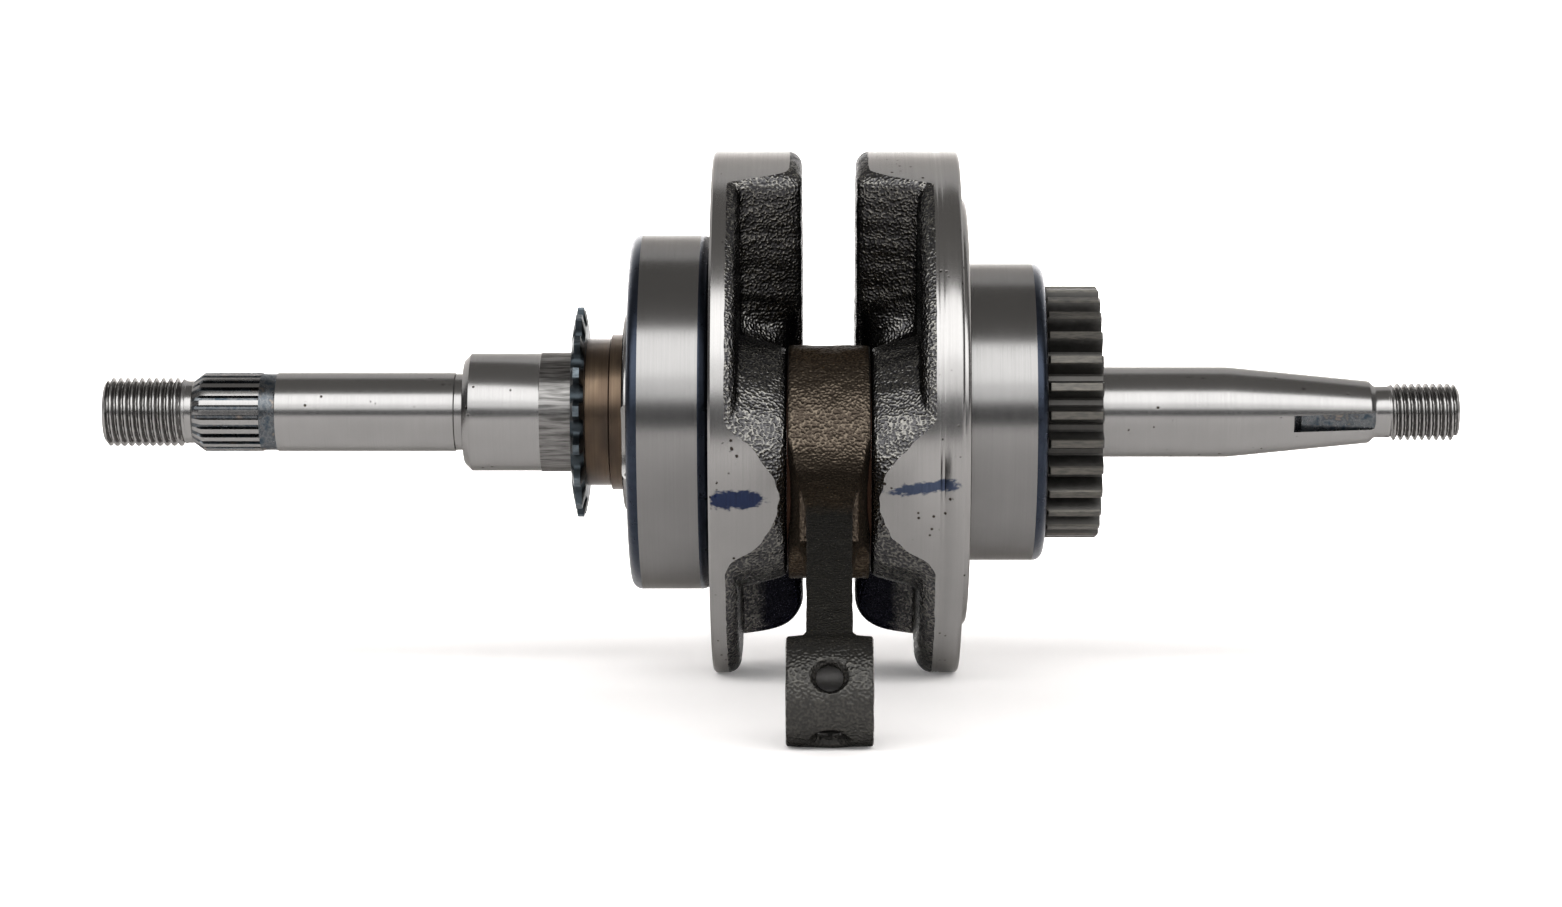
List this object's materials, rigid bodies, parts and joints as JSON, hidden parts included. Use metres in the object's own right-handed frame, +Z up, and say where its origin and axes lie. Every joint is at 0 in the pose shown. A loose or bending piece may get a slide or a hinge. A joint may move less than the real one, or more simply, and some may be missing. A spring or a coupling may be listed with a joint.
{
  "type": "crankshaft",
  "caption": "Built-up single-cylinder crankshaft with connecting rod, two main ball bearings, timing sprocket, drive gear, spline, taper and threaded ends.",
  "frame": {"origin": "on the crank axis, at the middle of the connecting rod's width", "axes": "+X along the crank axis towards the taper end, +Z up, the crankpin and the rod point towards -Y and 17.3 degrees below it"},
  "size_m": [0.2368, 0.174, 0.0912],
  "materials": {
    "crank_steel": "turned and ground on the shafts and rims, dark as-forged skin on the webs",
    "pin_steel": "fine ground",
    "rod_forging": "dark shot-blasted forging with a brown tint at the big end",
    "hardened_steel": "blue-black heat-treated",
    "gear_steel": "dark heat-treated, tooth tips worn lighter",
    "bearing_steel": "ground, oiled blue-grey at the corners",
    "ball_steel": "polished",
    "cage_steel": "pressed sheet",
    "washer_bronze": "copper-coloured"
  },
  "bodies": {
    "crankshaft": {"left_crank_half": "crank_steel", "right_crank_half": "crank_steel", "crank_pin": "pin_steel", "crank_pin_plug": "pin_steel", "left_thrust_washer": "washer_bronze", "right_thrust_washer": "washer_bronze", "timing_sprocket": "hardened_steel", "drive_gear": "gear_steel", "left_bearing_inner_ring": "bearing_steel", "right_bearing_inner_ring": "bearing_steel"},
    "left_outer_ring": {"left_bearing_outer_ring": "bearing_steel"},
    "left_ball_set": {"left_bearing_balls": "ball_steel", "left_bearing_cage_left": "cage_steel", "left_bearing_cage_right": "cage_steel", "left_bearing_rivets": "cage_steel"},
    "right_outer_ring": {"right_bearing_outer_ring": "bearing_steel"},
    "right_ball_set": {"right_bearing_balls": "ball_steel", "right_bearing_cage_left": "cage_steel", "right_bearing_cage_right": "cage_steel", "right_bearing_rivets": "cage_steel"},
    "rod": {"connecting_rod": "rod_forging"},
    "big_end_bearing": {"big_end_rollers": "ball_steel", "big_end_cage": "cage_steel"}
  },
  "joints": [
    {"name": "rod_swing", "type": "hinge", "parent": "crankshaft", "child": "rod", "pos_m": [0, -0.02482, -0.00773], "axis": [1, 0, 0], "continuous": true},
    {"name": "big_end_bearing_turn", "type": "hinge", "parent": "crankshaft", "child": "big_end_bearing", "pos_m": [0, -0.02482, -0.00773], "axis": [1, 0, 0], "continuous": true},
    {"name": "left_outer_ring_spin", "type": "hinge", "parent": "crankshaft", "child": "left_outer_ring", "pos_m": [-0.0273, 0, 0], "axis": [1, 0, 0], "continuous": true},
    {"name": "left_ball_set_turn", "type": "hinge", "parent": "crankshaft", "child": "left_ball_set", "pos_m": [-0.0273, 0, 0], "axis": [1, 0, 0], "continuous": true},
    {"name": "right_outer_ring_spin", "type": "hinge", "parent": "crankshaft", "child": "right_outer_ring", "pos_m": [0.02975, 0, 0], "axis": [1, 0, 0], "continuous": true},
    {"name": "right_ball_set_turn", "type": "hinge", "parent": "crankshaft", "child": "right_ball_set", "pos_m": [0.02975, 0, 0], "axis": [1, 0, 0], "continuous": true}
  ],
  "couplings": [
    {"joint": "big_end_bearing_turn", "follows": "rod_swing", "ratio": 0.5714},
    {"joint": "left_ball_set_turn", "follows": "left_outer_ring_spin", "ratio": 0.5819},
    {"joint": "right_ball_set_turn", "follows": "right_outer_ring_spin", "ratio": 0.6031}
  ]
}
